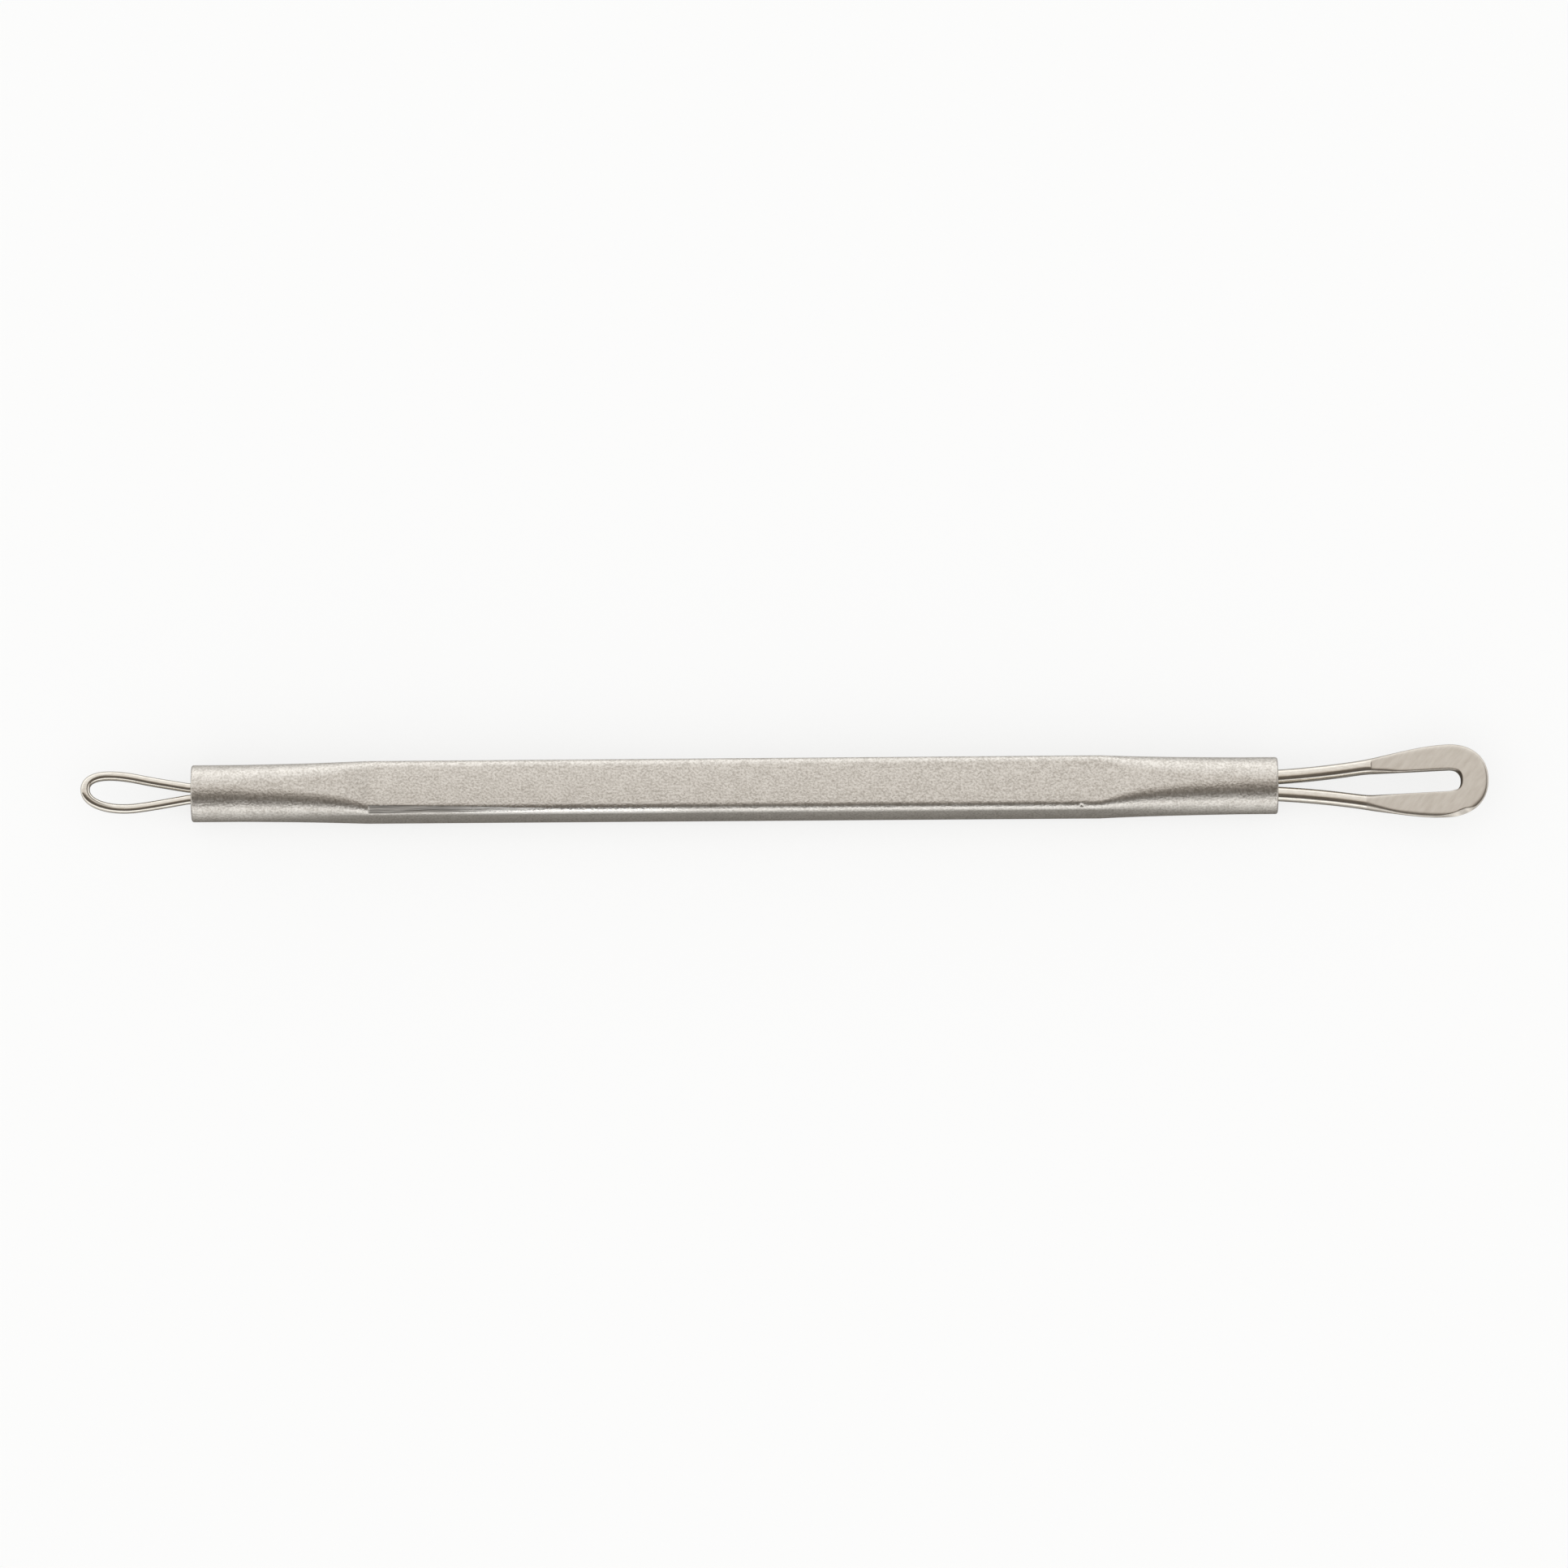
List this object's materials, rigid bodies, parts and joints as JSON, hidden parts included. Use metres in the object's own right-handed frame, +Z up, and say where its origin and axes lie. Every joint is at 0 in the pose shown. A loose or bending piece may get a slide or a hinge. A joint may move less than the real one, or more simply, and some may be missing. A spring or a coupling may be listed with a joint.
{
  "type": "comedone extractor",
  "caption": "Double-ended steel comedone extractor: a pressed round bar with a fine wire loop at one end and a flat slotted loop at the other.",
  "frame": {"origin": "on the surface that the tool lies on, flats level, under the bar's axis and midway between the two tips", "axes": "+X along the tool to the slotted end, +Y across it on the surface, +Z up"},
  "size_m": [0.1198, 0.0064, 0.0049],
  "materials": {
    "satin_steel": "fine bead-blasted satin",
    "polished_wire": "drawn wire, polished",
    "coined_steel": "coined and finely ground",
    "solder": "silver solder, dull"
  },
  "bodies": {
    "root": {"handle": "satin_steel", "fine_loop": "polished_wire", "slotted_loop": "coined_steel", "fine_end_solder": "solder", "slotted_end_solder": "solder"}
  },
  "joints": []
}
